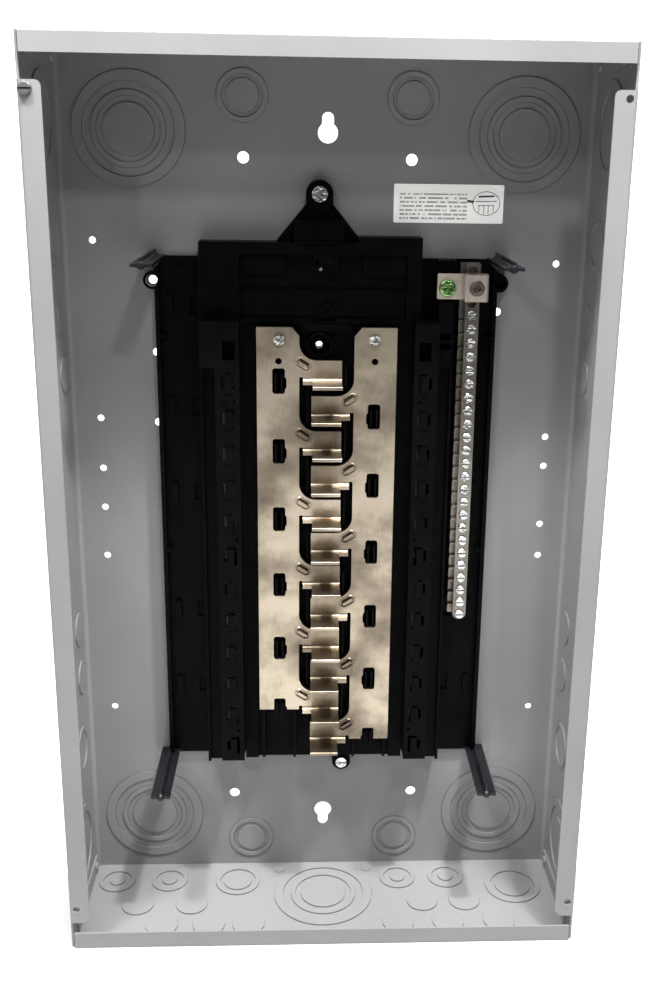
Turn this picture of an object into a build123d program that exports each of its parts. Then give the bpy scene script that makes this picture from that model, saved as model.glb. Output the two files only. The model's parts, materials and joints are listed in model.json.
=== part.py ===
"""Residential load center: painted steel box, moulded interior, bus bars and neutral.

Millimetres. X runs to the right, -Y out of the wall towards the person, +Z up.
The origin is the centre of the flat back face that lies on the wall. Places on the
object are given as (x, height above the box's bottom), with a depth out of the wall.
"""

import os

from build123d import *

# ---- enclosure ----
WIDTH = 368.3
HEIGHT = 628.65
DEPTH = 98.4
SHEET = 1.5
BACK_BEND = 3.5  # inside radius of the bends between back and sides
FRONT_BEND = 0.6
FLANGE_WIDTH = 14.2
FLANGE_LOW = 21.6
FLANGE_HIGH = 600.8
FLANGE_CORNER = 4.0
END_FLANGE_HEIGHT = 12.7
END_FLANGE_HALF_WIDTH = 181.7
END_GAP = 0.05
TAB_HEIGHT = 14.0
TAB_FRONT = 84.0
TAB_BACK = 6.0

KNOCKOUT_STEP = 0.9
SHEAR_WIDTH = 0.5  # the sheared line round each ring
SHEAR_DEPTH = 0.35
# Diameters of the holes that half-inch to two-and-a-half-inch knockouts leave
KO_HALF = 22.2
KO_THREE_QUARTER = 28.2
KO_ONE = 34.6
KO_ONE_AND_QUARTER = 43.7
KO_ONE_AND_HALF = 50.4
KO_TWO = 62.7
KO_TWO_AND_HALF = 76.2
KO_PLUG = 24.0  # single round blanks
KO_CENTRE = 11.6  # small raised centre of the least knockouts

# ---- mounting ----
UPPER_MOUNT = (57.7, 557.9)  # half spacing, height
LOWER_MOUNT = (70.6, 67.0)
MOUNT_HOLE_RADIUS = 3.95
KEYHOLE_RADIUS = 6.8
KEYHOLE_SLOT_RADIUS = 4.0
KEYHOLE_SLOT_LENGTH = 9.5
TRIM_HOLE_X = 179.1
TRIM_HOLES_HEIGHT = (33.3, 595.7)
TRIM_HOLE_RADIUS = 2.4
TRIM_COLLAR_RADIUS = 3.7

# ---- breaker rows ----
ROWS = 12
ROW_PITCH = 25.4
FIRST_ROW = 407.05  # height of the first stab's mid-plane

# ---- moulded interior ----
BASE_HALF_WIDTH = 119.5
BASE_LOW = 106.5
BASE_HIGH = 491.5
LOWER_SEAM = 264.8
UPPER_SEAM = 418.4
SEAM_GAP = 0.2
BASE_BACK = SHEET + 0.1
FLOOR_DEPTH = 5.0
LIP_DEPTH = 12.0
LIP_WIDTH = 3.0
TRAY_WALL = (87.0, 89.0)
TRAY_WALL_DEPTH = 20.0
CHANNEL_DEPTH = 16.0
GAP_DEPTH = 15.0
CENTRE_DEPTH = 12.0
RAIL = (60.4, 77.2)
RAIL_DEPTH = 36.0
RAIL_SKIN = 2.2
RAIL_TOP = 450.5
WINDOW = (63.7, 73.0)
WINDOW_TOP = 8.3  # above the stab's mid-plane
WINDOW_HEIGHT = 14.3
WINDOW_SLIT = 2.1
TONGUE_WIDTH = 4.8
TONGUE_PROUD = 0.8
RAIL_HOLE = (63.9, -11.6)  # across, and above the stab's mid-plane
RAIL_HOLE_RADIUS = 1.3

PLATE_DEPTH = 20.0
CUP_X = -5.3
CUP_HEIGHT = 431.3
EAR_X = -5.4
EAR_HEIGHT = 534.6
EAR_DEPTH = 9.6
EAR_SEAT = 8.4
LATCH_PIN = (-4.5, 484.8)

# ---- bus bars ----
BUS_BACK = 23.5
BUS_THICKNESS = 2.5
BUS_FRONT = BUS_BACK + BUS_THICKNESS
BAR_INNER = 19.2
BAR_OUTER = 48.9
BAR_TOP = 445.6
LEFT_BAR_BOTTOM = FIRST_ROW - 10 * ROW_PITCH + 0.6
RIGHT_BAR_BOTTOM = LEFT_BAR_BOTTOM - ROW_PITCH
BAR_SCREW = (33.2, 437.0)
BAR_HOLE = (33.6, 421.8)
SLOT_X = 33.6
SLOT_WIDTH = 8.9
SLOT_HEIGHT = 18.2
SLOT_RISE = 0.7  # slot centre above the stab's mid-plane
STAB_TIP = 48.0
STAB_SHOULDER = 29.5
STAB_ROOT_X = 16.5
STAB_BLADE = (-9.8, 10.6)  # left bar's blade, across
BEND_INSIDE = 2.0
FINGER_TOP = 15.4  # above the stab's mid-plane
FINGER_ARC = 12.0
BEAD_RISE = 12.6
BEAD_TILT = 33.0

# ---- neutral ----
NEUTRAL_X = 99.9
NEUTRAL_WIDTH = 9.6
NEUTRAL_TOP = 28.0
NEUTRAL_BOTTOM = 16.5
NEUTRAL_LEDGE = 3.1
NEUTRAL_HIGH = 490.4
NEUTRAL_LOW = 228.6
TERMINALS = 24
TERMINAL_FIRST = 455.3
TERMINAL_PITCH = 9.68
TERMINAL_RADIUS = 3.45
TERMINAL_PROUD = 2.0
SCREW_CLEARANCE = 0.08
LUG_LOW = 466.0
LUG_HIGH = 484.0
LUG_LEFT = 92.6
LUG_RIGHT = 109.0
LUG_FRONT = 40.5
LUG_SCREW_RADIUS = 5.2
STRAP_LEFT = 75.1
STRAP_THICKNESS = 1.6
BOND_X = 82.0
BOND_HEIGHT = 474.0

# ---- label ----
LABEL_MIDDLE = (84.2, 528.9)
LABEL_SIZE = (76.5, 26.2)

# ---- posts ----
POST_X = 119.6
POST_HEIGHTS = {"bottom": 107.7, "top": 491.2}
POST_TIP = 74.0

os.makedirs("parts", exist_ok=True)


def front(depth):
    """Plane parallel to the wall, its sketch coordinates (x, height), facing the person."""
    return Plane(origin=(0, -depth, -HEIGHT / 2), x_dir=(1, 0, 0), z_dir=(0, -1, 0))


def level(height):
    """Horizontal plane at a height above the box's bottom, facing up."""
    return Plane(origin=(0, 0, height - HEIGHT / 2), x_dir=(1, 0, 0), z_dir=(0, 0, 1))


def block(x_range, height_range, depth_range, mode=Mode.ADD):
    """Box between two values in x, height and depth, added to the part being built."""
    with BuildSketch(front(depth_range[0])) as outline:
        with Locations((sum(x_range) / 2, sum(height_range) / 2)):
            Rectangle(abs(x_range[1] - x_range[0]), height_range[1] - height_range[0])
    extrude(outline.sketch, amount=depth_range[1] - depth_range[0], mode=mode)


def disc(x, height, radius, depth_range, mode=Mode.ADD):
    """Round boss or hole square to the wall."""
    with BuildSketch(front(depth_range[0])) as outline:
        with Locations((x, height)):
            Circle(radius)
    extrude(outline.sketch, amount=depth_range[1] - depth_range[0], mode=mode)


def mirrored(x_range, side):
    """The same x range on the left (-1) or right (+1) side."""
    return tuple(sorted(side * x for x in x_range))


def row_height(row):
    """Height of a row's stab above the box's bottom."""
    return FIRST_ROW - row * ROW_PITCH


def press_knockouts(inner_face, knockouts):
    """Half shear knockouts: every other ring stands proud inside and is sunk outside."""
    for face, mode in ((inner_face, Mode.ADD), (inner_face.offset(-SHEET), Mode.SUBTRACT)):
        with BuildSketch(face) as rings:
            for x, y, diameters in knockouts:
                with Locations((x, y)):
                    for ring, diameter in enumerate(diameters):
                        Circle(diameter / 2, mode=Mode.SUBTRACT if ring % 2 else Mode.ADD)
        extrude(rings.sketch, amount=KNOCKOUT_STEP, mode=mode)
    # a thin groove follows each sheared edge on its lower side
    with BuildSketch(inner_face.offset(-SHEAR_DEPTH)) as sheared:
        for x, y, diameters in knockouts:
            with Locations((x, y)):
                for ring, diameter in enumerate(diameters):
                    lower_side = -SHEAR_WIDTH if ring % 2 else SHEAR_WIDTH
                    radii = (diameter / 2, diameter / 2 + lower_side)
                    Circle(max(radii))
                    Circle(min(radii), mode=Mode.SUBTRACT)
    extrude(sheared.sketch, amount=SHEAR_DEPTH + 0.1, mode=Mode.SUBTRACT)


def save(part, label):
    part.part.label = label
    export_step(part.part, f"parts/{label}.step")


# =====================  enclosure  =====================

BACK_KNOCKOUTS = [
    (side * 134.6, height, (KO_TWO_AND_HALF, KO_TWO, KO_ONE_AND_HALF, KO_ONE_AND_QUARTER, KO_ONE))
    for side in (-1, 1)
    for height in (49.3, 575.3)
] + [
    (side * 57.8, height, (KO_ONE, KO_THREE_QUARTER, KO_HALF))
    for side in (-1, 1)
    for height in (26.5, 598.0)
]

# depth from the wall, height, rings; repeated upside down at the top of each side
SIDE_KNOCKOUTS = [
    (45.0, 50.0, (KO_TWO, KO_ONE_AND_HALF, KO_ONE)),
    (31.5, 124.5, (KO_ONE, KO_THREE_QUARTER)),
    (19.5, 178.8, (25.0,)),
    (20.5, 217.8, (25.0,)),
]

# small round holes for accessories, (x, height) on the back
ACCESSORY_HOLES = [
    (-162.4, 501.3),
    (-162.4, 374.9),
    (-162.4, 337.3),
    (-162.4, 307.4),
    (-162.4, 269.6),
    (-162.4, 144.5),
    (162.2, 488.4),
    (162.2, 362.1),
    (162.2, 339.8),
    (162.2, 294.3),
    (162.2, 269.3),
    (162.2, 142.0),
]
# holes close to the moulded base's edge
EDGE_HOLES = [(-120.6, 423.4), (-120.9, 372.1), (121.7, 454.1)]
# holes behind the base's own bores, which show the wall through them
BORE_HOLES = [(-121.6, 474.6), (CUP_X, CUP_HEIGHT)]

with BuildPart() as enclosure_wrap:
    mid = SHEET / 2
    with BuildSketch(level(0)) as wrap_profile:
        with BuildLine() as centre_line:
            flange_end = WIDTH / 2 - FLANGE_WIDTH
            FilletPolyline(
                (-flange_end, -DEPTH + mid),
                (-WIDTH / 2 + mid, -DEPTH + mid),
                (-WIDTH / 2 + mid, -mid),
                (WIDTH / 2 - mid, -mid),
                (WIDTH / 2 - mid, -DEPTH + mid),
                (flange_end, -DEPTH + mid),
                radius=[
                    FRONT_BEND + mid,
                    BACK_BEND + mid,
                    BACK_BEND + mid,
                    FRONT_BEND + mid,
                ],
            )
        trace(centre_line.line, line_width=SHEET)
    extrude(wrap_profile.sketch, amount=HEIGHT)

    # the side flanges stop short of both ends, rounded at the top and clipped below
    for side in (-1, 1):
        outer = side * (WIDTH / 2 + 1)
        inner = side * (WIDTH / 2 - FLANGE_WIDTH)
        corner = side * FLANGE_CORNER
        behind_flange = DEPTH - SHEET - FRONT_BEND - 0.2
        with BuildSketch(front(behind_flange)) as clipped:
            with BuildLine():
                Polyline(
                    (outer, FLANGE_LOW),
                    (inner + corner, FLANGE_LOW),
                    (inner, FLANGE_LOW + FLANGE_CORNER),
                    (inner - corner, FLANGE_LOW + FLANGE_CORNER),
                    (inner - corner, -1),
                    (outer, -1),
                    close=True,
                )
            make_face()
            with BuildLine():
                Line((outer, FLANGE_HIGH), (inner + corner, FLANGE_HIGH))
                RadiusArc(
                    (inner + corner, FLANGE_HIGH),
                    (inner, FLANGE_HIGH - FLANGE_CORNER),
                    side * -FLANGE_CORNER,
                )
                Polyline(
                    (inner, FLANGE_HIGH - FLANGE_CORNER),
                    (inner - corner, FLANGE_HIGH - FLANGE_CORNER),
                    (inner - corner, HEIGHT + 1),
                    (outer, HEIGHT + 1),
                    (outer, FLANGE_HIGH),
                )
            make_face()
        extrude(clipped.sketch, amount=DEPTH - behind_flange + 1, mode=Mode.SUBTRACT)

    # knockouts of the back and of both sides
    press_knockouts(front(SHEET), BACK_KNOCKOUTS)
    for side in (-1, 1):
        side_wall = Plane(
            origin=(side * (WIDTH / 2 - SHEET), 0, -HEIGHT / 2),
            x_dir=(0, -side, 0),
            z_dir=(-side, 0, 0),
        )
        both_ends = [
            (side * depth, height, rings)
            for depth, low, rings in SIDE_KNOCKOUTS
            for height in (low, HEIGHT - low)
        ]
        press_knockouts(side_wall, both_ends)

    # holes through the back
    with BuildSketch(front(0)) as back_holes:
        for half_spacing, height in (UPPER_MOUNT, LOWER_MOUNT):
            with Locations((-half_spacing, height), (half_spacing, height)):
                Circle(MOUNT_HOLE_RADIUS)
        for height, up in ((574.8, 1), (51.0, -1)):
            with Locations((0, height)):
                Circle(KEYHOLE_RADIUS)
            with Locations((0, height + up * KEYHOLE_SLOT_LENGTH / 2)):
                Rectangle(2 * KEYHOLE_SLOT_RADIUS, KEYHOLE_SLOT_LENGTH)
            with Locations((0, height + up * KEYHOLE_SLOT_LENGTH)):
                Circle(KEYHOLE_SLOT_RADIUS)
        with Locations(*ACCESSORY_HOLES):
            Circle(2.4)
        with Locations(*EDGE_HOLES):
            Circle(2.9)
        with Locations(*BORE_HOLES):
            Circle(3.0)
        with Locations((BOND_X, BOND_HEIGHT)):
            Circle(2.6)
        with Locations((EAR_X, EAR_HEIGHT), (14.1, 97.2)):
            Circle(2.6)
    extrude(back_holes.sketch, amount=SHEET, mode=Mode.SUBTRACT)

    # extruded trim-screw holes in the flanges
    trim_holes = [(side * TRIM_HOLE_X, height) for side in (-1, 1) for height in TRIM_HOLES_HEIGHT]
    with BuildSketch(front(DEPTH - SHEET - 1.4)) as collars:
        with Locations(*trim_holes):
            Circle(TRIM_COLLAR_RADIUS)
    extrude(collars.sketch, amount=1.5)
    with BuildSketch(front(DEPTH - SHEET - 1.4)) as trim_bores:
        with Locations(*trim_holes):
            Circle(TRIM_HOLE_RADIUS)
    extrude(trim_bores.sketch, amount=5, mode=Mode.SUBTRACT)

    # rivet holes for the end walls' tabs
    for side in (-1, 1):
        tab_side = Plane(
            origin=(side * WIDTH / 2, 0, -HEIGHT / 2), x_dir=(0, -side, 0), z_dir=(-side, 0, 0)
        )
        with BuildSketch(tab_side) as rivet_holes:
            for depth in (13.0, 72.0):
                with Locations((side * depth, 8.6), (side * depth, HEIGHT - 8.6)):
                    Circle(2.2)
        extrude(rivet_holes.sketch, amount=SHEET, mode=Mode.SUBTRACT)
save(enclosure_wrap, "enclosure_wrap")


# x, y and rings of the end walls' knockouts
END_KNOCKOUTS = [
    (0.0, -41.2, (KO_TWO_AND_HALF, KO_TWO, KO_ONE_AND_HALF, KO_ONE_AND_QUARTER, KO_ONE)),
    (-163.2, -22.5, (KO_THREE_QUARTER, KO_HALF, KO_CENTRE)),
    (-121.8, -22.5, (KO_THREE_QUARTER, KO_HALF, KO_CENTRE)),
    (-67.6, -24.8, (KO_ONE, KO_THREE_QUARTER, KO_HALF)),
    (59.8, -22.5, (KO_THREE_QUARTER, KO_HALF, KO_CENTRE)),
    (98.7, -22.5, (KO_THREE_QUARTER, KO_HALF, KO_CENTRE)),
    (150.9, -34.7, (KO_ONE_AND_QUARTER, KO_ONE, KO_THREE_QUARTER)),
    (-142.8, -52.4, (KO_PLUG,)),
    (-101.4, -52.4, (KO_PLUG,)),
    (77.0, -52.4, (KO_PLUG,)),
    (110.0, -52.4, (KO_PLUG,)),
    (-121.5, -76.5, (KO_PLUG,)),
    (-86.3, -76.5, (KO_PLUG,)),
    (-56.6, -76.5, (KO_PLUG,)),
    (56.4, -76.5, (KO_PLUG,)),
    (94.4, -76.5, (KO_PLUG,)),
    (133.3, -76.5, (KO_PLUG,)),
]
END_DIMPLES = [(-35.2, -10.1), (35.2, -10.1)]


def end_wall():
    """Lower end wall: plate, front flange and two riveted side tabs, at its own place."""
    half = WIDTH / 2 - SHEET - END_GAP
    back_edge = -SHEET - END_GAP
    with BuildPart() as wall:
        with BuildSketch(level(0)) as plate:
            with BuildLine():
                corner = BACK_BEND + 0.3
                Polyline(
                    (-half, -DEPTH + SHEET),
                    (-half, back_edge - corner),
                    (-half + corner, back_edge),
                    (half - corner, back_edge),
                    (half, back_edge - corner),
                    (half, -DEPTH + SHEET),
                    close=True,
                )
            make_face()
        extrude(plate.sketch, amount=SHEET)
        block(
            (-END_FLANGE_HALF_WIDTH, END_FLANGE_HALF_WIDTH),
            (0, END_FLANGE_HEIGHT),
            (DEPTH - SHEET, DEPTH),
        )
        bottom_edge = wall.edges().filter_by(Axis.X).group_by(Axis.Z)[0].sort_by(Axis.Y)[0]
        fillet(bottom_edge, 1.2)
        for side in (-1, 1):
            block(mirrored((half - SHEET, half), side), (0, TAB_HEIGHT), (TAB_BACK, TAB_FRONT))
        press_knockouts(level(SHEET), END_KNOCKOUTS)
        with BuildSketch(level(SHEET)) as dimples:
            with Locations(*END_DIMPLES):
                Circle(4.5)
        extrude(dimples.sketch, amount=0.6)
        for side in (-1, 1):
            tab_face = Plane(
                origin=(side * half, 0, -HEIGHT / 2), x_dir=(0, -side, 0), z_dir=(-side, 0, 0)
            )
            with BuildSketch(tab_face) as rivet_holes:
                with Locations((side * 13.0, 8.6), (side * 72.0, 8.6)):
                    Circle(2.2)
            extrude(rivet_holes.sketch, amount=SHEET, mode=Mode.SUBTRACT)
    return wall


bottom_end_wall = end_wall()
save(bottom_end_wall, "bottom_end_wall")

with BuildPart() as top_end_wall:
    add(mirror(bottom_end_wall.part, about=Plane.XY, mode=Mode.PRIVATE))
save(top_end_wall, "top_end_wall")

with BuildPart() as end_wall_rivets:
    for side in (-1, 1):
        rivet_plane = Plane(
            origin=(side * WIDTH / 2, 0, -HEIGHT / 2), x_dir=(0, -side, 0), z_dir=(-side, 0, 0)
        )
        for height in (8.6, HEIGHT - 8.6):
            for depth in (13.0, 72.0):
                with BuildSketch(rivet_plane) as shank:
                    with Locations((side * depth, height)):
                        Circle(2.2)
                extrude(shank.sketch, amount=2 * SHEET + END_GAP)
                with BuildSketch(rivet_plane.offset(2 * SHEET + END_GAP)) as head:
                    with Locations((side * depth, height)):
                        Circle(3.8)
                extrude(head.sketch, amount=1.3, taper=25)
save(end_wall_rivets, "end_wall_rivets")


# =====================  moulded interior  =====================

POSTS = {
    f"cover_post_{vertical}_{horizontal}": (side * POST_X, POST_HEIGHTS[vertical])
    for vertical in ("top", "bottom")
    for horizontal, side in (("left", -1), ("right", 1))
}


def post_section(x, height, grow=0.0):
    """Ribbed section of a post: flat wings, an upright web and a round core."""
    with Locations((x, height)):
        Rectangle(13.9 + 2 * grow, 2.0 + 2 * grow)
        Circle(2.7 + grow)
    with Locations((x, height + 1.3)):
        Rectangle(1.8 + 2 * grow, 7.0 + 2 * grow)


def clear_posts():
    """Notch the base's corners round the posts."""
    with BuildSketch(front(BASE_BACK)) as notches:
        for x, height in POSTS.values():
            post_section(x, height, grow=0.2)
    extrude(notches.sketch, amount=LIP_DEPTH + 2, mode=Mode.SUBTRACT)


def rail(side, low, high):
    """Hollow breaker rail with one springy hook at each row between two heights."""
    block(mirrored(RAIL, side), (low, high), (BASE_BACK, RAIL_DEPTH))
    hollow = (RAIL[0] + RAIL_SKIN, RAIL[1] - RAIL_SKIN)
    block(
        mirrored(hollow, side),
        (low + RAIL_SKIN, high - RAIL_SKIN),
        (BASE_BACK, RAIL_DEPTH - RAIL_SKIN),
        mode=Mode.SUBTRACT,
    )
    through = (RAIL_DEPTH - RAIL_SKIN - 1, RAIL_DEPTH + 2)
    tongue = (WINDOW[0] + WINDOW_SLIT, WINDOW[0] + WINDOW_SLIT + TONGUE_WIDTH)
    for row in range(ROWS):
        top = row_height(row) + WINDOW_TOP
        bottom = top - WINDOW_HEIGHT
        if bottom < low or top > high:
            continue
        # slits above and inside the tongue, and a short one outside it
        block(
            mirrored((WINDOW[0], tongue[1]), side),
            (top - WINDOW_SLIT, top),
            through,
            mode=Mode.SUBTRACT,
        )
        block(mirrored((WINDOW[0], tongue[0]), side), (bottom, top), through, mode=Mode.SUBTRACT)
        block(mirrored((tongue[1], WINDOW[1]), side), (bottom + 3, top - 3), through, mode=Mode.SUBTRACT)
        lift = (RAIL_DEPTH - RAIL_SKIN, RAIL_DEPTH + TONGUE_PROUD)
        block(mirrored(tongue, side), (bottom, top - WINDOW_SLIT), lift)


def rail_holes(side, rows):
    """Small round holes between a row's hook and the next one's."""
    for row in rows:
        hole_height = row_height(row) + RAIL_HOLE[1]
        skin = (RAIL_DEPTH - RAIL_SKIN - 1, RAIL_DEPTH + 1)
        disc(side * RAIL_HOLE[0], hole_height, RAIL_HOLE_RADIUS, skin, mode=Mode.SUBTRACT)


def tray_details(side, height):
    """Slot and raised seat for an accessory bar in the outer tray."""
    block(mirrored((91.0, 96.0), side), (height - 7, height + 7), (BASE_BACK + 0.8, 20), mode=Mode.SUBTRACT)
    block(mirrored((108.0, 112.2), side), (height - 6.8, height + 6.8), (FLOOR_DEPTH, 8.5))


def base_section(low, high):
    """Everything that runs the length of the base: floor, lips, walls, rails, bus seats."""
    block((-BASE_HALF_WIDTH, BASE_HALF_WIDTH), (low, high), (BASE_BACK, FLOOR_DEPTH))
    inner_lip = BASE_HALF_WIDTH - LIP_WIDTH
    block((-RAIL[0], RAIL[0]), (low, high), (FLOOR_DEPTH, CENTRE_DEPTH))
    for side in (-1, 1):
        block(mirrored((inner_lip, BASE_HALF_WIDTH), side), (low, high), (FLOOR_DEPTH, LIP_DEPTH))
        block(mirrored(TRAY_WALL, side), (low, high), (FLOOR_DEPTH, TRAY_WALL_DEPTH))
        block(mirrored((RAIL[1], TRAY_WALL[0]), side), (low, high), (FLOOR_DEPTH, CHANNEL_DEPTH))
        block(mirrored((50.5, RAIL[0]), side), (low, high), (CENTRE_DEPTH, GAP_DEPTH))


def bus_seats(low, high):
    """Long ribs that the bus bars rest on."""
    for side in (-1, 1):
        for rib in ((21.5, 23.5), (45.0, 47.0)):
            block(mirrored(rib, side), (low, high), (CENTRE_DEPTH, BUS_BACK - 0.1))


def row_details(low, high):
    """Barrier walls beside each stab and hooks that stand in the bus bars' slots."""
    for row in range(ROWS):
        height = row_height(row)
        if not low < height < high:
            continue
        side = -1 if row % 2 == 0 else 1
        barrier = (max(low, height - 4), min(high, height + 23))
        block(mirrored((12.6, 14.0), -side), barrier, (CENTRE_DEPTH, BUS_FRONT))
        slot_low = max(low, height + SLOT_RISE - SLOT_HEIGHT / 2 + 1.0)
        slot_high = height + SLOT_RISE + SLOT_HEIGHT / 2 - 4.0
        for rib in (SLOT_X - 2.9, SLOT_X + 1.5):
            block(mirrored((rib, rib + 1.4), side), (slot_low, slot_high), (CENTRE_DEPTH, 25.2))


def side_boss(x, height):
    """Round screw boss that stands out beyond the base's edge."""
    disc(x, height, 6.3, (BASE_BACK, 9.0))


with BuildPart() as line_section_base:
    low = UPPER_SEAM + SEAM_GAP / 2
    base_section(low, BASE_HIGH)
    bus_seats(low, 445.0)
    for side in (-1, 1):
        rail(side, low, RAIL_TOP)
        tray_details(side, 457.5)
    # raised plate at the head with the pocket for a main breaker; its right shoulder is higher
    block((-88.0, 65.3), (450.5, 502.6), (BASE_BACK, PLATE_DEPTH))
    block((21.0, 65.3), (502.6, 506.6), (BASE_BACK, PLATE_DEPTH))
    block((-60.4, 55.2), (450.5, 494.5), (14.0, 30), mode=Mode.SUBTRACT)
    block((-60.4, 55.2), (470.4, 494.5), (12.0, 30), mode=Mode.SUBTRACT)
    block((-60.4, 55.2), (469.2, 470.4), (12.0, 14.8))
    block((-59.6, -29.8), (480.8, 493.4), (10.0, 15.5))
    block((25.2, 54.4), (480.8, 493.4), (10.0, 15.5))
    block((-RAIL[0], RAIL[0]), (446.8, 450.5), (FLOOR_DEPTH, 17.0))
    block((-11.2, 7.2), (448.6, 450.5), (13.0, 18.0), mode=Mode.SUBTRACT)
    # latch and round boss in the pocket
    block((-8.6, 7.8), (483.6, 494.5), (10.0, 18.6))
    block((-5.4, 6.4), (485.2, 493.0), (17.6, 20.0), mode=Mode.SUBTRACT)
    block((-8.0, -5.9), (486.4, 492.0), (11.0, 20.0), mode=Mode.SUBTRACT)
    disc(-0.1, 456.4, 4.2, (12.0, 17.5))
    disc(-0.1, 456.4, 2.4, (16.0, 18.0), mode=Mode.SUBTRACT)
    # cross rib between the bus bars' heads
    block((-17.0, 17.0), (441.5, 446.8), (FLOOR_DEPTH, 18.0))
    for side in (-1, 1):
        block(mirrored((112.5, 117.0), side), (435.4, 437.4), (FLOOR_DEPTH, LIP_DEPTH))
        # deep pocket in the rail's head
        pocket = (RAIL_DEPTH - RAIL_SKIN - 1, RAIL_DEPTH + 1)
        block(mirrored((63.4, 71.8), side), (424.0, 437.4), pocket, mode=Mode.SUBTRACT)
    # beside the rail's head: solid on the left, two gaps with a bar between on the right
    block((-87.6, -RAIL[1]), (low, RAIL_TOP), (FLOOR_DEPTH, RAIL_DEPTH))
    block((RAIL[1], TRAY_WALL[0]), (low, 430.3), (FLOOR_DEPTH, 24.0))
    block((RAIL[1], TRAY_WALL[0]), (435.2, 437.0), (FLOOR_DEPTH, 24.0))
    block((RAIL[1], TRAY_WALL[0]), (441.7, 463.9), (FLOOR_DEPTH, 24.0))
    row_details(low, 460.0)
    # centre screw cup
    disc(CUP_X, CUP_HEIGHT + 0.8, 8.8, (FLOOR_DEPTH, 20.0))
    disc(CUP_X, CUP_HEIGHT + 0.8, 7.6, (8.0, 21.0), mode=Mode.SUBTRACT)
    disc(CUP_X, CUP_HEIGHT, 4.2, (8.0, 12.0))
    disc(CUP_X, CUP_HEIGHT, 2.5, (0, 13.0), mode=Mode.SUBTRACT)
    # mounting ear above the plate: ribbed triangle, ring for the screw and a raised block
    with BuildSketch(front(BASE_BACK)) as ear:
        with BuildLine():
            Polyline(
                (-37.6, 500.0),
                (-14.8, 527.6),
                (-14.8, EAR_HEIGHT),
                (4.0, EAR_HEIGHT),
                (4.0, 527.6),
                (26.3, 500.0),
                close=True,
            )
        make_face()
        with Locations((EAR_X, EAR_HEIGHT)):
            Circle(9.4)
    extrude(ear.sketch, amount=EAR_DEPTH - BASE_BACK)
    block((-22.6, 11.0), (502.6, 517.3), (7.0, 22.5))
    block((-21.0, 9.4), (503.8, 516.0), (21.4, 23.0), mode=Mode.SUBTRACT)
    block((-21.0, 9.4), (503.8, 507.8), (20.6, 23.0), mode=Mode.SUBTRACT)
    for rib in ((-15.0, -13.3), (-6.5, -5.5), (2.3, 4.0)):
        block(rib, (517.0, 523.6), (7.0, 14.0))
    for shoulder in ((-14.9, -12.9), (2.0, 4.0)):
        block(shoulder, (523.8, 526.8), (5.0, 10.0), mode=Mode.SUBTRACT)
    disc(EAR_X, EAR_HEIGHT, 6.9, (EAR_SEAT, 12.0), mode=Mode.SUBTRACT)
    disc(EAR_X, EAR_HEIGHT, 2.7, (0, 12.0), mode=Mode.SUBTRACT)
    # clipped upper corners and side bosses
    for side in (-1, 1):
        with BuildSketch(front(0)) as clipped:
            with BuildLine():
                edge = side * (BASE_HALF_WIDTH + 1)
                Polyline(
                    (edge, BASE_HIGH - 9.5),
                    (edge - side * 9.5, BASE_HIGH + 1),
                    (edge, BASE_HIGH + 1),
                    close=True,
                )
            make_face()
        extrude(clipped.sketch, amount=40, mode=Mode.SUBTRACT)
        side_boss(side * 121.3, 475.0)
        # open on the left, closed behind on the right
        hole_back = 0 if side < 0 else BASE_BACK + 1.5
        disc(side * 121.3, 475.0, 4.3, (hole_back, 14.0), mode=Mode.SUBTRACT)
    disc(-102.2, 485.4, 2.2, (BASE_BACK + 1, 13.0), mode=Mode.SUBTRACT)
    disc(*LATCH_PIN, 1.2, (8.0, 20.0), mode=Mode.SUBTRACT)
    disc(BOND_X, BOND_HEIGHT, 7.5, (FLOOR_DEPTH, NEUTRAL_TOP))
    disc(BOND_X, BOND_HEIGHT, 2.6, (0, NEUTRAL_TOP + 1), mode=Mode.SUBTRACT)
    clear_posts()
save(line_section_base, "line_section_base")

with BuildPart() as upper_branch_base:
    low, high = LOWER_SEAM + SEAM_GAP / 2, UPPER_SEAM - SEAM_GAP / 2
    base_section(low, high)
    bus_seats(low, high)
    row_details(low, high)
    for side in (-1, 1):
        rail(side, low, high)
        tray_details(side, 384.8)
        tray_details(side, 321.0)
        block(mirrored((112.5, 117.0), side), (275.6, 277.6), (FLOOR_DEPTH, LIP_DEPTH))
        rail_holes(side, (0, 4))
save(upper_branch_base, "upper_branch_base")

with BuildPart() as lower_branch_base:
    low, high = BASE_LOW, LOWER_SEAM - SEAM_GAP / 2
    base_section(low, high)
    bus_seats(low + 5, high)
    row_details(low, high)
    for side in (-1, 1):
        rail(side, low + 9.7, high)
        rail_holes(side, (6, 10))
        tray_details(side, 228.2)
        tray_details(side, 165.6)
    # lower mounting ear
    disc(14.1, 97.2, 7.2, (BASE_BACK, 6.0))
    block((8.0, 20.2), (97.2, low + 1), (BASE_BACK, 6.0))
    disc(14.1, 97.2, 2.7, (0, 7.0), mode=Mode.SUBTRACT)
    clear_posts()
save(lower_branch_base, "lower_branch_base")

for post_name, (x, height) in POSTS.items():
    with BuildPart() as cover_post:
        with BuildSketch(front(BASE_BACK)) as section:
            post_section(x, height)
        extrude(section.sketch, amount=POST_TIP - 1.5 - BASE_BACK)
        with BuildSketch(front(POST_TIP - 1.5)) as tip:
            with Locations((x, height)):
                Circle(2.7)
        extrude(tip.sketch, amount=1.5, taper=30)
    save(cover_post, post_name)


# =====================  bus bars  =====================


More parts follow.
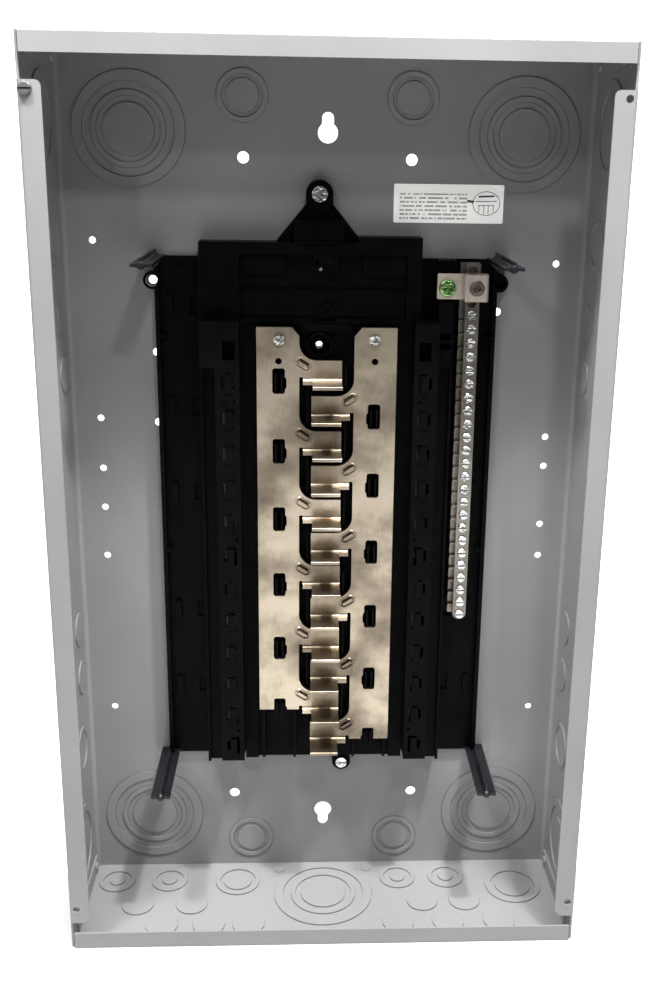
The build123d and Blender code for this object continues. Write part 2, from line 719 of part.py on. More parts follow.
def bus_bar(side, bottom):
    """One bus bar with a finger and bent-up stab at every second row.

    side is -1 for the left bar, whose first finger is the top row, and +1 for the right.
    """
    first = 0 if side < 0 else 1
    stab_rows = range(first, ROWS, 2)
    half = BUS_THICKNESS / 2
    blade = tuple(sorted(-side * x for x in STAB_BLADE))
    free_end = -side * STAB_BLADE[1]

    with BuildPart() as bar:
        with BuildSketch(front(BUS_BACK)) as outline:
            with BuildLine():
                Polyline(
                    (side * BAR_OUTER, BAR_TOP),
                    (side * 24.4, BAR_TOP),
                    (side * BAR_INNER, BAR_TOP - 6.0),
                    (side * BAR_INNER, bottom),
                    (side * BAR_OUTER, bottom),
                    close=True,
                )
            make_face()
            for row in stab_rows:
                bend = row_height(row) + half + BEND_INSIDE
                top = row_height(row) + FINGER_TOP
                with BuildLine():
                    arc_end = side * (BAR_INNER - FINGER_ARC)
                    Polyline(
                        (side * BAR_INNER, top + FINGER_ARC),
                        (side * BAR_INNER, bend),
                        (free_end, bend),
                        (free_end, top),
                        (arc_end, top),
                    )
                    RadiusArc((arc_end, top), (side * BAR_INNER, top + FINGER_ARC), side * -FINGER_ARC)
                make_face()
        extrude(outline.sketch, amount=BUS_THICKNESS)

        for row in stab_rows:
            height = row_height(row)
            # the finger bends out into a shoulder, then the narrower blade
            root = sorted((side * STAB_ROOT_X, free_end))
            bend_side = Plane(origin=(root[1], 0, -HEIGHT / 2), x_dir=(0, -1, 0), z_dir=(-1, 0, 0))
            with BuildSketch(bend_side) as bent:
                with BuildLine() as centre_line:
                    FilletPolyline(
                        (BUS_BACK + half, height + FINGER_TOP - 1),
                        (BUS_BACK + half, height),
                        (STAB_SHOULDER, height),
                        radius=BEND_INSIDE + half,
                    )
                trace(centre_line.line, line_width=BUS_THICKNESS)
            extrude(bent.sketch, amount=root[1] - root[0])
            block(blade, (height - half, height + half), (STAB_SHOULDER, STAB_TIP))
            # the relief beside the bend is round at its upper end
            relief_radius = (BAR_INNER - STAB_ROOT_X) / 2
            relief_x = side * (BAR_INNER + STAB_ROOT_X) / 2
            relief_height = height + half + BEND_INSIDE - 0.9
            disc(relief_x, relief_height, relief_radius, (BUS_BACK, BUS_FRONT), mode=Mode.SUBTRACT)

        tips = bar.faces().filter_by(Axis.Y).group_by(Axis.Y)[0].edges().filter_by(Axis.X)
        fillet(tips, 0.8)

        # slots for the base's hooks, the last one open at the bar's end
        with BuildSketch(front(BUS_BACK)) as slots:
            for row in stab_rows:
                with Locations((side * SLOT_X, row_height(row) + SLOT_RISE)):
                    RectangleRounded(SLOT_WIDTH, SLOT_HEIGHT, 2.0)
                with Locations((side * (SLOT_X - 3.0), row_height(row) + SLOT_RISE - 1.5)):
                    RectangleRounded(4.9, 8.0, 1.2)
            with Locations((side * SLOT_X, bottom)):
                Rectangle(SLOT_WIDTH - 0.6, 18.0)
        extrude(slots.sketch, amount=BUS_THICKNESS, mode=Mode.SUBTRACT)

        # screw seat and locating hole at the head
        screw_x, screw_height = side * BAR_SCREW[0], BAR_SCREW[1]
        disc(screw_x, screw_height, 5.5, (BUS_FRONT - 0.7, BUS_FRONT + 1), mode=Mode.SUBTRACT)
        disc(screw_x, screw_height, 2.4, (0, BUS_FRONT + 1), mode=Mode.SUBTRACT)
        disc(side * BAR_HOLE[0], BAR_HOLE[1], 2.3, (0, BUS_FRONT + 1), mode=Mode.SUBTRACT)

        # pressed oval at each finger's root: raised rim, sunk floor, raised bead and a slit
        for row in stab_rows:
            middle = Location((side * STAB_ROOT_X, row_height(row) + BEAD_RISE, 0), (0, 0, side * BEAD_TILT))
            slit = middle * Location((0, 2.2, 0))
            with BuildSketch(front(BUS_FRONT)) as rim:
                with Locations(middle):
                    SlotOverall(12.8, 7.6)
            extrude(rim.sketch, amount=0.5, taper=35)
            with BuildSketch(front(BUS_FRONT - 1.0)) as sunk:
                with Locations(middle):
                    SlotOverall(11.0, 5.8)
            extrude(sunk.sketch, amount=2.0, mode=Mode.SUBTRACT)
            with BuildSketch(front(BUS_BACK)) as pierced:
                with Locations(slit):
                    SlotOverall(8.4, 1.3)
            extrude(pierced.sketch, amount=BUS_THICKNESS, mode=Mode.SUBTRACT)
            with BuildSketch(front(BUS_FRONT - 1.0)) as bead:
                with Locations(middle):
                    SlotOverall(9.6, 2.9)
            extrude(bead.sketch, amount=1.9, taper=22)
    return bar


left_bus_bar = bus_bar(-1, LEFT_BAR_BOTTOM)
save(left_bus_bar, "left_bus_bar")
right_bus_bar = bus_bar(1, RIGHT_BAR_BOTTOM)
save(right_bus_bar, "right_bus_bar")


def pan_screw(x, height, head_radius, head_range, shank_radius, shank_back, slot_width):
    """Slotted pan-head screw, added to the part being built."""
    disc(x, height, head_radius, head_range)
    disc(x, height, shank_radius, (shank_back, head_range[0]))
    block(
        (x - head_radius - 1, x + head_radius + 1),
        (height - slot_width / 2, height + slot_width / 2),
        (head_range[1] - 0.9, head_range[1] + 1),
        mode=Mode.SUBTRACT,
    )


with BuildPart() as bus_bar_screws:
    for side in (-1, 1):
        seat = BUS_FRONT - 0.7
        pan_screw(side * BAR_SCREW[0], BAR_SCREW[1], 3.8, (seat, seat + 2.6), 2.3, CENTRE_DEPTH, 1.1)
save(bus_bar_screws, "bus_bar_screws")

with BuildPart() as base_mounting_screws:
    pan_screw(EAR_X, EAR_HEIGHT, 5.4, (EAR_SEAT, EAR_SEAT + 3.6), 2.5, SHEET + 0.1, 1.6)
    pan_screw(14.1, 97.2, 4.3, (6.0, 8.6), 2.5, SHEET + 0.1, 1.2)
    disc(*LATCH_PIN, 1.1, (8.0, 19.2))
save(base_mounting_screws, "base_mounting_screws")


# =====================  neutral  =====================

terminal_heights = [TERMINAL_FIRST - index * TERMINAL_PITCH for index in range(TERMINALS)]
bar_left = NEUTRAL_X - NEUTRAL_WIDTH / 2
bar_right = NEUTRAL_X + NEUTRAL_WIDTH / 2

with BuildPart() as neutral_bar:
    block((bar_left, bar_right), (NEUTRAL_LOW, NEUTRAL_HIGH), (NEUTRAL_BOTTOM, NEUTRAL_TOP))
    block(
        (bar_left - NEUTRAL_LEDGE, bar_right),
        (NEUTRAL_LOW + 2, NEUTRAL_HIGH),
        (NEUTRAL_BOTTOM, NEUTRAL_BOTTOM + 2.6),
    )
    lower_corners = neutral_bar.edges().filter_by(Axis.Y).group_by(Axis.Z)[0]
    fillet(lower_corners, 4.4)
    # a wire opening under each screw leaves a rung between neighbours
    for height in terminal_heights[:-1]:
        block(
            (bar_left - NEUTRAL_LEDGE - 1, bar_right - 1.6),
            (height - 3.4, height + 3.4),
            (NEUTRAL_BOTTOM + 4.0, NEUTRAL_TOP - 2.2),
            mode=Mode.SUBTRACT,
        )
        middle = height - TERMINAL_PITCH / 2
        block(
            (bar_left - NEUTRAL_LEDGE, bar_left),
            (middle - 0.7, middle + 0.7),
            (NEUTRAL_BOTTOM, NEUTRAL_BOTTOM + 5.6),
        )
    for height in terminal_heights:
        disc(
            NEUTRAL_X,
            height,
            TERMINAL_RADIUS + SCREW_CLEARANCE,
            (NEUTRAL_BOTTOM + 3.8, NEUTRAL_TOP + 1),
            mode=Mode.SUBTRACT,
        )
    for height in (485.6, 463.6):
        disc(NEUTRAL_X - 0.5, height, 3.1, (NEUTRAL_TOP - 6, NEUTRAL_TOP + 1), mode=Mode.SUBTRACT)
save(neutral_bar, "neutral_bar")

with BuildPart() as neutral_standoffs:
    for height in (478.0, 345.0, 246.0):
        standoff_depth = (FLOOR_DEPTH, NEUTRAL_BOTTOM)
        block((bar_left - 1.5, bar_right + 1.5), (height - 9, height + 9), standoff_depth)
save(neutral_standoffs, "neutral_standoffs")

for index, height in enumerate(terminal_heights, start=1):
    with BuildPart() as neutral_screw:
        top = NEUTRAL_TOP + TERMINAL_PROUD
        disc(NEUTRAL_X, height, TERMINAL_RADIUS, (NEUTRAL_BOTTOM + 4.4, top))
        rim = neutral_screw.faces().sort_by(Axis.Y)[0].edges()
        chamfer(rim, 0.5)
        slot = (height - 0.55, height + 0.55)
        block((NEUTRAL_X - 5, NEUTRAL_X + 5), slot, (top - 1.4, top + 1), mode=Mode.SUBTRACT)
    save(neutral_screw, f"neutral_screw_{index:02d}")

lug_x = (LUG_LEFT + LUG_RIGHT) / 2
lug_height = (LUG_LOW + LUG_HIGH) / 2
LUG_BORE_RADIUS = 3.9
LUG_BORE_DEPTH = NEUTRAL_TOP + 4.7
with BuildPart() as neutral_lug:
    block((LUG_LEFT, LUG_RIGHT), (LUG_LOW, LUG_HIGH), (NEUTRAL_TOP, LUG_FRONT))
    lug_sides = neutral_lug.faces().sort_by(Axis.Y)[0].edges().filter_by(Axis.Z)
    fillet(lug_sides.sort_by(Axis.X)[-1], 2.4)
    fillet(lug_sides.sort_by(Axis.X)[0], 0.8)
    with BuildSketch(level(LUG_LOW)) as wire_bore:
        with Locations((lug_x, -LUG_BORE_DEPTH)):
            Circle(LUG_BORE_RADIUS)
    extrude(wire_bore.sketch, amount=LUG_HIGH - LUG_LOW, mode=Mode.SUBTRACT)
    disc(
        lug_x,
        lug_height,
        LUG_SCREW_RADIUS + SCREW_CLEARANCE,
        (LUG_BORE_DEPTH, LUG_FRONT + 1),
        mode=Mode.SUBTRACT,
    )
save(neutral_lug, "neutral_lug")

with BuildPart() as neutral_lug_screw:
    disc(lug_x, lug_height, LUG_SCREW_RADIUS, (LUG_BORE_DEPTH + LUG_BORE_RADIUS + 0.1, LUG_FRONT + 0.3))
    chamfer(neutral_lug_screw.faces().sort_by(Axis.Y)[0].edges(), 0.7)
    with BuildSketch(front(LUG_FRONT - 3.2)) as socket:
        with Locations((lug_x, lug_height)):
            RegularPolygon(3.1, 6)
    extrude(socket.sketch, amount=5, mode=Mode.SUBTRACT)
save(neutral_lug_screw, "neutral_lug_screw")

with BuildPart() as bonding_strap:
    strap_depth = (NEUTRAL_TOP, NEUTRAL_TOP + STRAP_THICKNESS)
    block((STRAP_LEFT, LUG_LEFT - 0.1), (LUG_LOW + 0.4, LUG_HIGH - 0.2), strap_depth)
    fillet(bonding_strap.edges().filter_by(Axis.Y).group_by(Axis.X)[0], 0.9)
    disc(BOND_X, BOND_HEIGHT, 2.6, (0, NEUTRAL_TOP + 3), mode=Mode.SUBTRACT)
save(bonding_strap, "bonding_strap")

with BuildPart() as bonding_screw:
    head_back = NEUTRAL_TOP + STRAP_THICKNESS
    disc(BOND_X, BOND_HEIGHT, 5.9, (head_back, head_back + 3.4))
    fillet(bonding_screw.faces().sort_by(Axis.Y)[0].edges(), 1.6)
    disc(BOND_X, BOND_HEIGHT, 2.5, (0.3, head_back))
    for long_x, long_z in ((7.4, 1.1), (1.1, 7.4)):
        block(
            (BOND_X - long_x / 2, BOND_X + long_x / 2),
            (BOND_HEIGHT - long_z / 2, BOND_HEIGHT + long_z / 2),
            (head_back + 1.6, head_back + 5),
            mode=Mode.SUBTRACT,
        )
save(bonding_screw, "bonding_screw")


# =====================  trim screw and label  =====================

with BuildPart() as trim_screw:
    x, height = -TRIM_HOLE_X, TRIM_HOLES_HEIGHT[1]
    disc(x, height, TRIM_HOLE_RADIUS - 0.05, (DEPTH - 10, DEPTH))
    disc(x, height, 4.2, (DEPTH, DEPTH + 2.4))
    fillet(trim_screw.faces().sort_by(Axis.Y)[0].edges(), 1.2)
    block((x - 5, x + 5), (height - 0.6, height + 0.6), (DEPTH + 1.3, DEPTH + 3), mode=Mode.SUBTRACT)
save(trim_screw, "trim_screw")

with BuildPart() as instruction_label:
    with BuildSketch(front(SHEET + 0.02)) as sticker:
        with Locations(LABEL_MIDDLE):
            RectangleRounded(*LABEL_SIZE, 1.2)
    extrude(sticker.sketch, amount=0.15)
    # its upper right corner lies over the raised edge of a knockout
    raised_x, raised_height, rings = BACK_KNOCKOUTS[3]
    with BuildSketch(front(SHEET + 0.02)) as over_edge:
        with Locations(LABEL_MIDDLE):
            RectangleRounded(*LABEL_SIZE, 1.2)
        with Locations((raised_x, raised_height)):
            Circle(rings[0] / 2 + 0.3, mode=Mode.INTERSECT)
    extrude(over_edge.sketch, amount=KNOCKOUT_STEP + 0.15)
    disc(raised_x, raised_height, rings[0] / 2 + 0.05, (0, SHEET + KNOCKOUT_STEP + 0.02), mode=Mode.SUBTRACT)
save(instruction_label, "instruction_label")
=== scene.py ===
"""Looks of the load center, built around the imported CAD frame. Metres, in the CAD's frame."""

import json
import math

import bmesh
import bpy
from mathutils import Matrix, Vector


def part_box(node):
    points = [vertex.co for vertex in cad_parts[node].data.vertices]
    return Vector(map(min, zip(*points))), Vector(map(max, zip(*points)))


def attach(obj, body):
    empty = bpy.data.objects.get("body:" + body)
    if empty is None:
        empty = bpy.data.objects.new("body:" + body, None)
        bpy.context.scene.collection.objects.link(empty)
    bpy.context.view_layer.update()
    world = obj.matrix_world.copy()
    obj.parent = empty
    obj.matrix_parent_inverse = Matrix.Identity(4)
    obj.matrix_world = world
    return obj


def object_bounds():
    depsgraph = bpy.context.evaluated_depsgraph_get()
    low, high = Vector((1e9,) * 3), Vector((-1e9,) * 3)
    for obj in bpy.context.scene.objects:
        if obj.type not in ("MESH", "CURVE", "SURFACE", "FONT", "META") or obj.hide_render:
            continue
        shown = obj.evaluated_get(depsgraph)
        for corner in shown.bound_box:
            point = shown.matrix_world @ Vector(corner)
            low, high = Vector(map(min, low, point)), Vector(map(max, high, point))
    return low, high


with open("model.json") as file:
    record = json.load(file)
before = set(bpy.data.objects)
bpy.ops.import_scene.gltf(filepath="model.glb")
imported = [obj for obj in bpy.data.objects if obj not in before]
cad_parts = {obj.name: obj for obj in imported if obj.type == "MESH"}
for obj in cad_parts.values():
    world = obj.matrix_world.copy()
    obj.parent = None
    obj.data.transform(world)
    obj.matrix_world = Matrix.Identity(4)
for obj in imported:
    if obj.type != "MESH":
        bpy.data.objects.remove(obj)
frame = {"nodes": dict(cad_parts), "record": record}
cad_low, cad_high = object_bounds()
nodes = frame["nodes"]
MM = 0.001
scene = bpy.context.scene


# ---------------------------------------------------------------- camera
# in front of the box and above its middle, looking down at it
camera_data = bpy.data.cameras.new("camera")
camera = bpy.data.objects.new("camera", camera_data)
scene.collection.objects.link(camera)
scene.camera = camera
camera.location = (-0.01428, -0.79302, 0.24945)
camera.rotation_euler = [math.radians(a) for a in (74.115, -0.867, -2.465)]
camera_data.lens = 40.13
camera_data.sensor_width = 36
camera_data.shift_x = -0.0288
camera_data.shift_y = -0.0326
camera_data.clip_start = 0.01


# ---------------------------------------------------------------- node helpers
class Shader:
    """A material being wired up: small helpers around its node tree."""

    def __init__(self, name):
        self.material = bpy.data.materials.new(name)
        self.material.use_nodes = True
        self.tree = self.material.node_tree
        self.main = self.tree.nodes["Principled BSDF"]
        self.place = self.add("ShaderNodeTexCoord").outputs["Object"]

    def add(self, kind, **settings):
        node = self.tree.nodes.new(kind)
        for key, value in settings.items():
            setattr(node, key, value)
        return node

    def link(self, output, socket):
        self.tree.links.new(output, socket)

    def stretched(self, scale):
        mapping = self.add("ShaderNodeMapping")
        mapping.inputs["Scale"].default_value = scale
        self.link(self.place, mapping.inputs["Vector"])
        return mapping.outputs["Vector"]

    def noise(self, scale, detail, roughness=0.5, place=None):
        node = self.add("ShaderNodeTexNoise")
        node.inputs["Scale"].default_value = scale
        node.inputs["Detail"].default_value = detail
        node.inputs["Roughness"].default_value = roughness
        self.link(place or self.place, node.inputs["Vector"])
        return node.outputs["Fac"]

    def ramp(self, value, stops):
        node = self.add("ShaderNodeValToRGB")
        elements = node.color_ramp.elements
        while len(elements) < len(stops):
            elements.new(0.5)
        for element, (position, color) in zip(elements, stops):
            element.position = position
            element.color = (*color, 1)
        self.link(value, node.inputs["Fac"])
        return node.outputs["Color"]

    def range(self, value, low, high, out_low, out_high):
        node = self.add("ShaderNodeMapRange")
        node.inputs["From Min"].default_value = low
        node.inputs["From Max"].default_value = high
        node.inputs["To Min"].default_value = out_low
        node.inputs["To Max"].default_value = out_high
        self.link(value, node.inputs["Value"])
        return node.outputs["Result"]

    def mix(self, factor, first, second):
        """A plain number mixed from two: the first at factor 0, the second at 1."""
        node = self.add("ShaderNodeMix", data_type="FLOAT")
        node.inputs["Factor"].default_value = factor
        self.link(first, node.inputs[2])
        self.link(second, node.inputs[3])
        return node.outputs[0]

    def bump(self, height, strength, distance, below=None):
        node = self.add("ShaderNodeBump")
        node.inputs["Strength"].default_value = strength
        node.inputs["Distance"].default_value = distance
        self.link(height, node.inputs["Height"])
        if below:
            self.link(below, node.inputs["Normal"])
        self.link(node.outputs["Normal"], self.main.inputs["Normal"])
        return node.outputs["Normal"]


def painted(name, dark, light, roughness=(0.36, 0.46), peel=0.12):
    """Sprayed enamel: faint mottling, orange peel and a few rubbed, duller places."""
    s = Shader(name)
    s.link(s.ramp(s.noise(9, 4), [(0.35, dark), (0.65, light)]), s.main.inputs["Base Color"])
    s.link(s.range(s.noise(26, 5), 0.35, 0.7, *roughness), s.main.inputs["Roughness"])
    s.main.inputs["Coat Weight"].default_value = 0.12
    s.main.inputs["Coat Roughness"].default_value = 0.3
    peel_normal = s.bump(s.noise(700, 2), peel, 0.0003)
    s.bump(s.noise(35, 2), 0.06, 0.002, peel_normal)
    return s.material


def plastic(name, dark, light, roughness, shine):
    """Moulded plastic: fine spark-eroded grain with slightly worn, shinier patches."""
    s = Shader(name)
    s.link(s.ramp(s.noise(60, 5), [(0.35, dark), (0.75, light)]), s.main.inputs["Base Color"])
    s.link(s.range(s.noise(120, 4), 0.3, 0.7, *roughness), s.main.inputs["Roughness"])
    s.main.inputs["Specular IOR Level"].default_value = shine
    s.bump(s.noise(2600, 2), 0.14, 0.0002)
    return s.material


def plated(name, dark, light, roughness, brush, stain=14, metal=1.0, dents=0.0):
    """Plated metal: fine brushing, soft stains in the plating and, on screws, small dents."""
    s = Shader(name)
    s.main.inputs["Metallic"].default_value = metal
    streaks = s.noise(1, 3, place=s.stretched(brush))
    surface = s.mix(0.2, s.noise(stain, 5, 0.6), streaks)
    s.link(s.ramp(surface, [(0.36, dark), (0.62, light)]), s.main.inputs["Base Color"])
    s.link(s.range(surface, 0.3, 0.7, *roughness), s.main.inputs["Roughness"])
    normal = s.bump(streaks, 0.12, 0.0002)
    if dents:
        s.bump(s.noise(420, 1), dents, 0.001, normal)
    return s.material


def tinned(name):
    """Bus bar plating: clear and dull bands across the bar, warm and pinkish in places."""
    s = Shader(name)
    s.main.inputs["Metallic"].default_value = 1.0
    clouds = s.noise(1, 4, 0.55, place=s.stretched((16, 16, 21)))
    grain = s.noise(1, 2, place=s.stretched((1500, 1500, 90)))
    tones = [
        (0.34, (0.16, 0.13, 0.10)),
        (0.46, (0.34, 0.285, 0.215)),
        (0.56, (0.56, 0.48, 0.37)),
        (0.68, (0.64, 0.54, 0.46)),
    ]
    s.link(s.ramp(s.mix(0.1, clouds, grain), tones), s.main.inputs["Base Color"])
    s.link(s.range(clouds, 0.3, 0.7, 0.40, 0.26), s.main.inputs["Roughness"])
    dents = s.bump(s.noise(60, 2), 0.12, 0.0015)
    s.bump(grain, 0.05, 0.0001, dents)
    return s.material


PAINT = painted("grey_enamel", (0.217, 0.22, 0.222), (0.247, 0.25, 0.252))
BLACK = plastic(
    "black_moulding", (0.0011, 0.0011, 0.0014), (0.0024, 0.0024, 0.0029), (0.34, 0.50), 0.05
)
POST = plastic("post_moulding", (0.004, 0.0045, 0.006), (0.009, 0.010, 0.012), (0.28, 0.40), 0.35)
TIN = tinned("tin_plate")
BEIGE = plated(
    "lug_plate", (0.52, 0.45, 0.38), (0.78, 0.69, 0.60), (0.28, 0.42),
    brush=(500, 500, 500), metal=0.85,
)
SILVER = plated(
    "neutral_alloy", (0.15, 0.13, 0.11), (0.34, 0.31, 0.27), (0.26, 0.40),
    brush=(900, 900, 60),
)
ZINC = plated(
    "zinc_screw", (0.42, 0.43, 0.42), (0.95, 0.96, 0.94), (0.12, 0.24),
    brush=(600, 600, 600), stain=300, metal=0.9, dents=0.6,
)
SOCKET = plated(
    "lug_screw", (0.16, 0.13, 0.11), (0.42, 0.36, 0.31), (0.26, 0.38),
    brush=(600, 600, 600), stain=260,
)
GREEN = plated(
    "green_screw", (0.08, 0.22, 0.05), (0.42, 0.66, 0.26), (0.16, 0.28),
    brush=(700, 700, 700), stain=260, metal=0.85, dents=0.5,
)
DARK = painted("dark_screw", (0.05, 0.05, 0.055), (0.09, 0.09, 0.095))


# ---------------------------------------------------------------- label paper
LABEL_PAINTED_GLOW = 0.24  # painted light: the sticker's paper glows, so it looks bright in the shade of the top wall
LINE_PITCH = 2.75 * MM  # from one printed line to the next
FIRST_LINE = 2.4 * MM  # above the sticker's lower edge
BOTTOM_MARGIN = 2.2 * MM
TOP_MARGIN = 6.2 * MM
TEXT_START = 4 * MM  # from the sticker's left edge
TEXT_END = 51 * MM


def printed_label(name):
    """White sticker with grey bars where its instructions would be printed: no lettering."""
    s = Shader(name)
    low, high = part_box("instruction_label")
    split = s.add("ShaderNodeSeparateXYZ")
    s.link(s.place, split.inputs["Vector"])

    def math_node(operation, *values):
        node = s.add("ShaderNodeMath", operation=operation)
        for socket, value in zip(node.inputs, values):
            if isinstance(value, (int, float)):
                socket.default_value = value
            else:
                s.link(value, socket)
        return node.outputs["Value"]

    across, up = split.outputs["X"], split.outputs["Z"]
    line = math_node("DIVIDE", math_node("SUBTRACT", up, low.z + FIRST_LINE), LINE_PITCH)
    in_line = math_node("LESS_THAN", math_node("FRACT", line), 0.5)
    # every line draws its bars from its own row of a noise, so no two lines match
    seat = s.add("ShaderNodeCombineXYZ")
    s.link(math_node("MULTIPLY", across, 520), seat.inputs["X"])
    s.link(math_node("MULTIPLY", math_node("FLOOR", line), 7.3), seat.inputs["Y"])
    words = math_node("GREATER_THAN", s.noise(1.0, 1, place=seat.outputs["Vector"]), 0.44)
    inside = math_node(
        "MULTIPLY",
        math_node("GREATER_THAN", across, low.x + TEXT_START),
        math_node("LESS_THAN", across, low.x + TEXT_END),
    )
    margin = math_node(
        "MULTIPLY",
        math_node("GREATER_THAN", up, low.z + BOTTOM_MARGIN),
        math_node("LESS_THAN", up, high.z - TOP_MARGIN),
    )
    printed = math_node("MULTIPLY", in_line, words)
    ink = math_node("MULTIPLY", printed, math_node("MULTIPLY", inside, margin))
    paper = s.ramp(s.noise(40, 3), [(0.3, (0.86, 0.85, 0.83)), (0.7, (0.93, 0.92, 0.90))])
    mix = s.add("ShaderNodeMix", data_type="RGBA")
    s.link(math_node("MULTIPLY", ink, 0.75), mix.inputs["Factor"])
    s.link(paper, mix.inputs[6])
    mix.inputs[7].default_value = (0.12, 0.12, 0.12, 1)
    s.link(mix.outputs[2], s.main.inputs["Base Color"])
    # painted light: the paper and its print glow in their own colour, though the sticker is no lamp
    s.link(mix.outputs[2], s.main.inputs["Emission Color"])
    s.main.inputs["Emission Strength"].default_value = LABEL_PAINTED_GLOW
    s.main.inputs["Roughness"].default_value = 0.5
    s.bump(s.noise(300, 2), 0.05, 0.0002)
    return s.material


LABEL = printed_label("label_paper")
INK = painted("label_ink", (0.05, 0.05, 0.05), (0.08, 0.08, 0.08), roughness=(0.5, 0.6), peel=0.02)


# ---------------------------------------------------------------- finishes on the parts
FINISH = {
    "box_paint": PAINT,
    "black_moulding": BLACK,
    "tinned_bar": TIN,
    "aluminium_bar": SILVER,
    "zinc_screw": ZINC,
    "dark_screw": DARK,
    "green_screw": GREEN,
    "white_label": LABEL,
}
OWN_FINISH = {"neutral_lug": BEIGE, "bonding_strap": BEIGE, "neutral_lug_screw": SOCKET}
EDGE_WIDTH = {  # in millimetres
    "enclosure_wrap": 0.2,
    "top_end_wall": 0.2,
    "bottom_end_wall": 0.2,
    "line_section_base": 0.3,
    "upper_branch_base": 0.3,
    "lower_branch_base": 0.3,
    "left_bus_bar": 0.4,
    "right_bus_bar": 0.4,
    "bus_bar_screws": 0.6,
    "base_mounting_screws": 0.7,
    "neutral_bar": 0.25,
    "neutral_lug": 0.3,
    "bonding_strap": 0.25,
}
for corner in ("top_left", "top_right", "bottom_left", "bottom_right"):
    OWN_FINISH["cover_post_" + corner] = POST
    EDGE_WIDTH["cover_post_" + corner] = 0.25


def bevel(obj, width):
    """Softened edges, so they catch the light as real ones do."""
    modifier = obj.modifiers.new("edge", "BEVEL")
    modifier.width = width
    modifier.segments = 2
    modifier.limit_method = "ANGLE"
    modifier.angle_limit = math.radians(35)


for part in frame["record"]["subparts"]:
    node = nodes[part["node"]]
    node.data.materials.clear()
    node.data.materials.append(OWN_FINISH.get(part["node"], FINISH[part["material_slot"]]))
    if part["node"] in EDGE_WIDTH:
        bevel(node, EDGE_WIDTH[part["node"]] * MM)


# ---------------------------------------------------------------- label artwork
CORNER_RAISE = 0.90 * MM  # how far the sticker's raised corner stands off its flat
INK_RAISE = 0.03 * MM
OVAL_STEPS = 40


def label_drawing():
    """A line drawing on the sticker: an oval with a bar, a line and a comb of strokes in it."""
    low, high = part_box("instruction_label")
    y = low.y + CORNER_RAISE - INK_RAISE
    centre_x = low.x + 64.5 * MM
    centre_z = (low.z + high.z) / 2 + 0.5 * MM
    bm = bmesh.new()

    def ribbon(points, width, closed=False):
        points = [Vector((x, y, z)) for x, z in points]
        count = len(points)
        sides = []
        for index, point in enumerate(points):
            before = points[index - 1] if closed or index else point
            after = points[(index + 1) % count] if closed or index < count - 1 else point
            along = (after - before).normalized()
            normal = Vector((-along.z, 0, along.x)) * width / 2
            sides.append((bm.verts.new(point + normal), bm.verts.new(point - normal)))
        last = count if closed else count - 1
        for index in range(last):
            a, b = sides[index], sides[(index + 1) % count]
            bm.faces.new((a[0], a[1], b[1], b[0]))

    oval = []
    for step in range(OVAL_STEPS):
        turn = 2 * math.pi * step / OVAL_STEPS
        oval.append((centre_x + 9.5 * MM * math.cos(turn), centre_z + 8.0 * MM * math.sin(turn)))
    ribbon(oval, 0.5 * MM, closed=True)
    strokes = [  # x and height from the oval's middle, both ends, and a width
        (-13.5, 1.6, -8.6, 1.0, 1.7),
        (-5.5, 4.6, 5.5, 5.0, 1.2),
        (-7.5, 1.2, 7.5, 1.6, 0.6),
        (-5.0, -1.6, -5.0, -6.0, 0.5),
        (-1.5, -1.6, -1.5, -7.0, 0.5),
        (1.5, -1.6, 1.5, -7.0, 0.5),
        (5.0, -1.6, 5.0, -6.0, 0.5),
        (-6.0, -1.4, 6.0, -1.4, 0.5),
    ]
    for x0, z0, x1, z1, width in strokes:
        ends = [
            (centre_x + x0 * MM, centre_z + z0 * MM),
            (centre_x + x1 * MM, centre_z + z1 * MM),
        ]
        ribbon(ends, width * MM)
    data = bpy.data.meshes.new("label_drawing")
    bm.to_mesh(data)
    bm.free()
    obj = bpy.data.objects.new("label_drawing", data)
    scene.collection.objects.link(obj)
    data.materials.append(INK)
    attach(obj, "panel")


label_drawing()


# ---------------------------------------------------------------- stage, light
PAPER_HALF_WIDTH = 3.0
FLOOR_FRONT = -3.0
FLOOR_EDGE = -0.012  # the floor's paper ends under the box and the backdrop's begins
COVE_START = 0.5  # where the backdrop begins to curve up, behind the box
COVE_RADIUS = 0.8
COVE_STEPS = 12
BACKDROP_TOP = 3.5


def stage_mesh(name, points, faces, material):
    data = bpy.data.meshes.new(name)
    data.from_pydata(points, [], faces)
    obj = bpy.data.objects.new(name, data)
    scene.collection.objects.link(obj)
    data.materials.append(material)
    for polygon in data.polygons:
        polygon.use_smooth = True


def sweep(name, profile, material):
    """A sheet swept across x from (y, height above the floor) points."""
    points, faces = [], []
    for y, height in profile:
        points += [
            (-PAPER_HALF_WIDTH, y, cad_low.z + height),
            (PAPER_HALF_WIDTH, y, cad_low.z + height),
        ]
    for step in range(len(profile) - 1):
        a = 2 * step
        faces.append((a, a + 1, a + 3, a + 2))
    stage_mesh(name, points, faces, material)


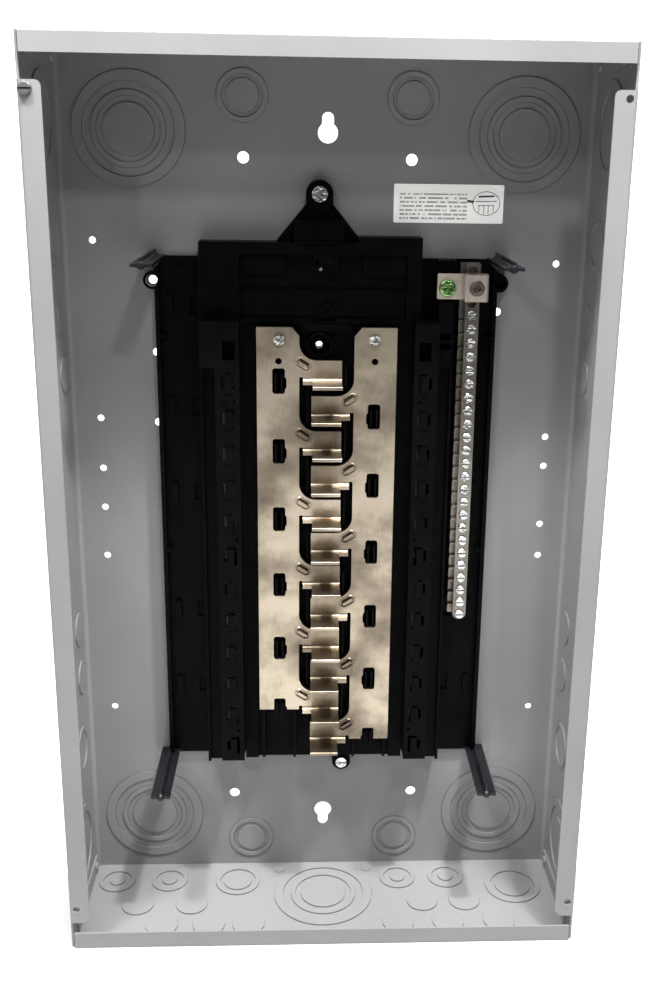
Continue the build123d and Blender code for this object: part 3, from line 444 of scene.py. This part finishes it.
def pale_paper(name, dark, light, glow):
    """Seamless background paper, faintly mottled."""
    s = Shader(name)
    tones = [(0.4, (dark, dark, dark)), (0.6, (light, light, light))]
    s.link(s.ramp(s.noise(3, 2), tones), s.main.inputs["Base Color"])
    s.main.inputs["Roughness"].default_value = 0.7
    s.main.inputs["Specular IOR Level"].default_value = 0.1
    s.main.inputs["Emission Color"].default_value = (1, 1, 1, 1)
    s.main.inputs["Emission Strength"].default_value = glow
    return s.material


sweep("floor", [(FLOOR_FRONT, 0.0), (FLOOR_EDGE, 0.0)], pale_paper("floor_paper", 0.50, 0.53, 0.15))
backdrop = [(FLOOR_EDGE, 0.0), (COVE_START, 0.0)]
for step in range(1, COVE_STEPS + 1):
    turn = math.radians(90 * step / COVE_STEPS)
    backdrop.append(
        (COVE_START + COVE_RADIUS * math.sin(turn), COVE_RADIUS - COVE_RADIUS * math.cos(turn))
    )
backdrop.append((COVE_START + COVE_RADIUS, BACKDROP_TOP))
sweep("backdrop", backdrop, pale_paper("backdrop_paper", 0.84, 0.87, 0.9))


def area_light(name, location, target, size, power):
    data = bpy.data.lights.new(name, "AREA")
    data.shape = "RECTANGLE"
    data.size, data.size_y = size
    data.energy = power
    obj = bpy.data.objects.new(name, data)
    scene.collection.objects.link(obj)
    obj.location = location
    obj.rotation_euler = (Vector(target) - Vector(location)).to_track_quat("-Z", "Y").to_euler()


# soft strips over the box, then the small lamps that draw the posts' shadows
area_light("high_strip", (0, -0.30, 1.0), (0, -0.30, 0), (1.0, 0.15), 6)
area_light("main_strip", (0, -0.55, 1.5), (0, -0.10, 0), (1.0, 0.20), 24)
area_light("wide_strip", (0, -0.90, 1.45), (0, -0.10, 0), (3.0, 0.20), 9)
area_light("right_overhead_lamp", (0.26, -0.33, 1.0), (0, -0.05, -0.3), (0.06, 0.06), 15)
area_light("left_overhead_lamp", (-0.36, -0.36, 1.05), (0, -0.05, -0.3), (0.08, 0.08), 11)
area_light("right_front_lamp", (0.225, -1.0, 1.083), (0, 0, 0), (0.07, 0.07), 4.5)
area_light("left_front_lamp", (-0.80, -1.57, 1.15), (0, 0, 0), (0.10, 0.10), 4.5)

world = bpy.data.worlds.new("studio")
scene.world = world
world.use_nodes = True
background = world.node_tree.nodes["Background"]
background.inputs["Color"].default_value = (1, 1, 1, 1)
background.inputs["Strength"].default_value = 0.05

scene.view_settings.view_transform = "Standard"
